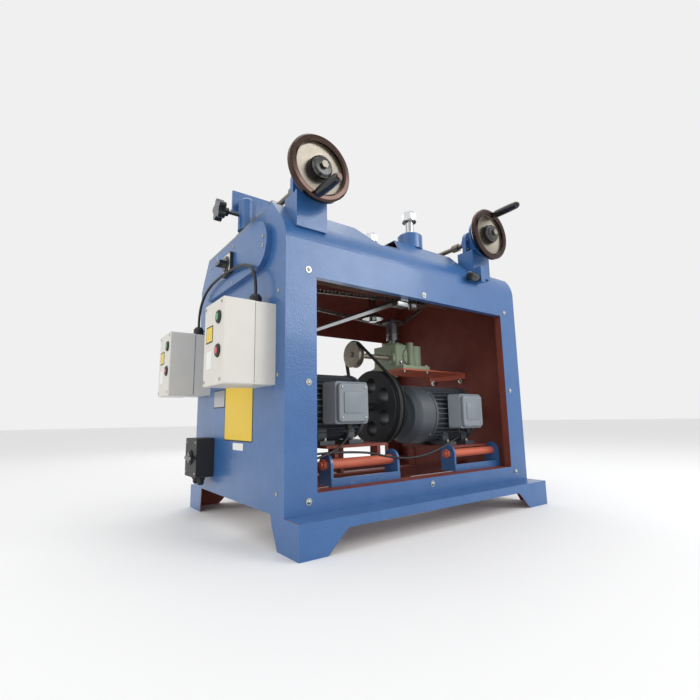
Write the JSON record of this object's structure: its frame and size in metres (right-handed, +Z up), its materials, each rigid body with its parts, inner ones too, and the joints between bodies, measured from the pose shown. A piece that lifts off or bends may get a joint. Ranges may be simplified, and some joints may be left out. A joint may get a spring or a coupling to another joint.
{
  "type": "drum sander",
  "caption": "Free-standing drum sander: sheet-metal cabinet with an open motor bay, sanding drum under a table slot, feed spindles, handwheels and starter boxes.",
  "frame": {"origin": "middle of the overall footprint, on the floor", "axes": "+X along the cabinet from the starter boxes to the belt guard, +Y from the open motor bay to the back, +Z up"},
  "size_m": [1.22, 0.8884, 1.062],
  "materials": {
    "abrasive_sleeve": "coated abrasive",
    "back_frame": "hammered enamel",
    "belt_guard": "hammered enamel",
    "cable_glands": "moulded",
    "chain_bars": "ground",
    "control_boxes": "moulded",
    "control_cable": "sheathed",
    "cover_screws": "zinc plated",
    "drum_bearings": "painted",
    "drum_belt": "matt",
    "drum_core": "turned",
    "drum_end_cover": "hammered enamel",
    "drum_motor_rotor": "ground",
    "drum_shaft": "ground",
    "end_panels": "hammered enamel",
    "feed_belt": "matt",
    "feed_chain": "oiled",
    "feed_motor_pulley": "turned",
    "feed_motor_rotor": "ground",
    "feed_spindle_far": "polished",
    "feed_spindle_near": "polished",
    "fence_plate": "brushed",
    "fence_post": "polished",
    "fence_slide": "ground",
    "front_frame": "hammered enamel",
    "gearbox_housing": "pale green enamel",
    "gearbox_shelf": "primer",
    "guide_slide": "ground",
    "handwheel_left": "polished",
    "handwheel_right": "polished",
    "head_casing": "hammered enamel",
    "head_ends": "hammered enamel",
    "idler_sprocket": "machined",
    "isolator_lever": "moulded",
    "lock_knob": "moulded",
    "motor_cables": "sheathed",
    "motor_cowls": "grey enamel",
    "motor_cradles": "primer",
    "motor_frames": "grey enamel",
    "motor_rail": "primer",
    "motor_shields": "grey enamel",
    "mount_brackets": "enamel",
    "mount_tubes": "orange-red primer",
    "output_shaft": "turned",
    "screw_brackets": "enamel",
    "selector_knob": "moulded",
    "skirts": "hammered enamel",
    "spindle_housings": "enamel",
    "star_knob": "moulded",
    "start_button_far": "moulded",
    "start_button_near": "moulded",
    "stop_button_far": "moulded",
    "stop_button_near": "moulded",
    "switch_cases": "moulded",
    "table_lips": "hammered enamel",
    "table_plate": "ground",
    "terminal_boxes": "moulded",
    "wheel_grip_left": "polished",
    "wheel_grip_right": "polished",
    "worm_shaft": "turned"
  },
  "bodies": {
    "cabinet": {"back_frame": "back_frame", "belt_guard": "belt_guard", "cable_glands": "cable_glands", "chain_bars": "chain_bars", "control_boxes": "control_boxes", "control_cable": "control_cable", "cover_screws": "cover_screws", "drum_bearings": "drum_bearings", "drum_belt": "drum_belt", "drum_end_cover": "drum_end_cover", "end_panels": "end_panels", "feed_belt": "feed_belt", "feed_chain": "feed_chain", "front_frame": "front_frame", "gearbox_housing": "gearbox_housing", "gearbox_shelf": "gearbox_shelf", "head_casing": "head_casing", "head_ends": "head_ends", "motor_cables": "motor_cables", "motor_cowls": "motor_cowls", "motor_cradles": "motor_cradles", "motor_frames": "motor_frames", "motor_rail": "motor_rail", "motor_shields": "motor_shields", "mount_brackets": "mount_brackets", "mount_tubes": "mount_tubes", "screw_brackets": "screw_brackets", "skirts": "skirts", "spindle_housings": "spindle_housings", "switch_cases": "switch_cases", "table_lips": "table_lips", "table_plate": "table_plate", "terminal_boxes": "terminal_boxes"},
    "drum": {"drum_core": "drum_core", "abrasive_sleeve": "abrasive_sleeve", "drum_shaft": "drum_shaft"},
    "drum_motor_rotor": {"drum_motor_rotor": "drum_motor_rotor"},
    "feed_motor_rotor": {"feed_motor_rotor": "feed_motor_rotor", "feed_motor_pulley": "feed_motor_pulley"},
    "worm_shaft": {"worm_shaft": "worm_shaft"},
    "output_shaft": {"output_shaft": "output_shaft"},
    "feed_spindle_near": {"feed_spindle_near": "feed_spindle_near"},
    "feed_spindle_far": {"feed_spindle_far": "feed_spindle_far"},
    "idler_sprocket": {"idler_sprocket": "idler_sprocket"},
    "handwheel_left": {"handwheel_left": "handwheel_left"},
    "handwheel_right": {"handwheel_right": "handwheel_right"},
    "wheel_grip_left": {"wheel_grip_left": "wheel_grip_left"},
    "wheel_grip_right": {"wheel_grip_right": "wheel_grip_right"},
    "fence": {"fence_slide": "fence_slide", "fence_post": "fence_post", "fence_plate": "fence_plate"},
    "guide_slide": {"guide_slide": "guide_slide"},
    "star_knob": {"star_knob": "star_knob"},
    "lock_knob": {"lock_knob": "lock_knob"},
    "selector_knob": {"selector_knob": "selector_knob"},
    "isolator_lever": {"isolator_lever": "isolator_lever"},
    "start_button_near": {"start_button_near": "start_button_near"},
    "stop_button_near": {"stop_button_near": "stop_button_near"},
    "start_button_far": {"start_button_far": "start_button_far"},
    "stop_button_far": {"stop_button_far": "stop_button_far"}
  },
  "joints": [
    {"name": "drum_spin", "type": "hinge", "parent": "cabinet", "child": "drum", "pos_m": [0.036, -0.05425, 0.8315], "axis": [1, 0, 0], "continuous": true},
    {"name": "drum_motor_spin", "type": "hinge", "parent": "cabinet", "child": "drum_motor_rotor", "pos_m": [0.436, -0.08275, 0.32], "axis": [1, 0, 0], "continuous": true},
    {"name": "feed_motor_spin", "type": "hinge", "parent": "cabinet", "child": "feed_motor_rotor", "pos_m": [-0.007, -0.08275, 0.345], "axis": [1, 0, 0], "continuous": true},
    {"name": "worm_spin", "type": "hinge", "parent": "cabinet", "child": "worm_shaft", "pos_m": [0.036, 0.03925, 0.542], "axis": [1, 0, 0], "continuous": true},
    {"name": "output_spin", "type": "hinge", "parent": "cabinet", "child": "output_shaft", "pos_m": [0.227, 0.07925, 0.699], "axis": [0, 0, 1], "continuous": true},
    {"name": "feed_spindle_near_spin", "type": "hinge", "parent": "cabinet", "child": "feed_spindle_near", "pos_m": [0.104, -0.16575, 0.9], "axis": [0, 0, 1], "continuous": true},
    {"name": "feed_spindle_far_spin", "type": "hinge", "parent": "cabinet", "child": "feed_spindle_far", "pos_m": [0.104, 0.05725, 0.9], "axis": [0, 0, 1], "continuous": true},
    {"name": "idler_spin", "type": "hinge", "parent": "cabinet", "child": "idler_sprocket", "pos_m": [-0.359, -0.05425, 0.699], "axis": [0, 0, 1], "continuous": true},
    {"name": "handwheel_left_turn", "type": "hinge", "parent": "cabinet", "child": "handwheel_left", "pos_m": [-0.388, -0.33175, 0.968], "axis": [0, 1, 0], "range_deg": [-3600, 0]},
    {"name": "handwheel_right_turn", "type": "hinge", "parent": "cabinet", "child": "handwheel_right", "pos_m": [0.347, -0.33175, 0.968], "axis": [0, 1, 0], "range_deg": [-3600, 0]},
    {"name": "fence_travel", "type": "slide", "parent": "cabinet", "child": "fence", "axis": [0, 1, 0], "range_m": [-0.0401, 0.0001]},
    {"name": "guide_travel", "type": "slide", "parent": "cabinet", "child": "guide_slide", "axis": [0, 1, 0], "range_m": [-0.0401, 0.0001]},
    {"name": "wheel_grip_left_spin", "type": "hinge", "parent": "handwheel_left", "child": "wheel_grip_left", "pos_m": [-0.40224, -0.38775, 0.88725], "axis": [0, 1, 0], "continuous": true},
    {"name": "wheel_grip_right_spin", "type": "hinge", "parent": "handwheel_right", "child": "wheel_grip_right", "pos_m": [0.3696, -0.38775, 1.04682], "axis": [0, 1, 0], "continuous": true},
    {"name": "star_knob_turn", "type": "hinge", "parent": "fence", "child": "star_knob", "pos_m": [-0.519, 0.03725, 0.967], "axis": [1, 0, 0], "range_deg": [0, 720]},
    {"name": "lock_knob_turn", "type": "hinge", "parent": "cabinet", "child": "lock_knob", "pos_m": [0.296, -0.30475, 0.8], "axis": [1, 0, 0], "range_deg": [0, 720]},
    {"name": "selector_turn", "type": "hinge", "parent": "cabinet", "child": "selector_knob", "pos_m": [-0.494, 0.06925, 0.803], "axis": [1, 0, 0], "range_deg": [-45, 45]},
    {"name": "isolator_turn", "type": "hinge", "parent": "cabinet", "child": "isolator_lever", "pos_m": [-0.524, 0.26225, 0.19], "axis": [1, 0, 0], "range_deg": [0, 90]},
    {"name": "start_button_near_press", "type": "slide", "parent": "cabinet", "child": "start_button_near", "axis": [1, 0, 0], "range_m": [0, 0.004], "stiffness_N_per_m": 400},
    {"name": "stop_button_near_press", "type": "slide", "parent": "cabinet", "child": "stop_button_near", "axis": [1, 0, 0], "range_m": [0, 0.004], "stiffness_N_per_m": 400},
    {"name": "start_button_far_press", "type": "slide", "parent": "cabinet", "child": "start_button_far", "axis": [1, 0, 0], "range_m": [0, 0.004], "stiffness_N_per_m": 400},
    {"name": "stop_button_far_press", "type": "slide", "parent": "cabinet", "child": "stop_button_far", "axis": [1, 0, 0], "range_m": [0, 0.004], "stiffness_N_per_m": 400}
  ],
  "couplings": [
    {"joint": "drum_motor_spin", "follows": "drum_spin", "ratio": 0.72727},
    {"joint": "worm_spin", "follows": "feed_motor_spin", "ratio": 2.5833},
    {"joint": "output_spin", "follows": "feed_motor_spin", "ratio": 0.086111},
    {"joint": "feed_spindle_near_spin", "follows": "feed_motor_spin", "ratio": 0.086111},
    {"joint": "feed_spindle_far_spin", "follows": "feed_motor_spin", "ratio": 0.086111},
    {"joint": "idler_spin", "follows": "feed_motor_spin", "ratio": 0.056944},
    {"joint": "fence_travel", "follows": "handwheel_left_turn", "m_per_rad": 0.00063662},
    {"joint": "guide_travel", "follows": "handwheel_right_turn", "m_per_rad": 0.00063662}
  ]
}
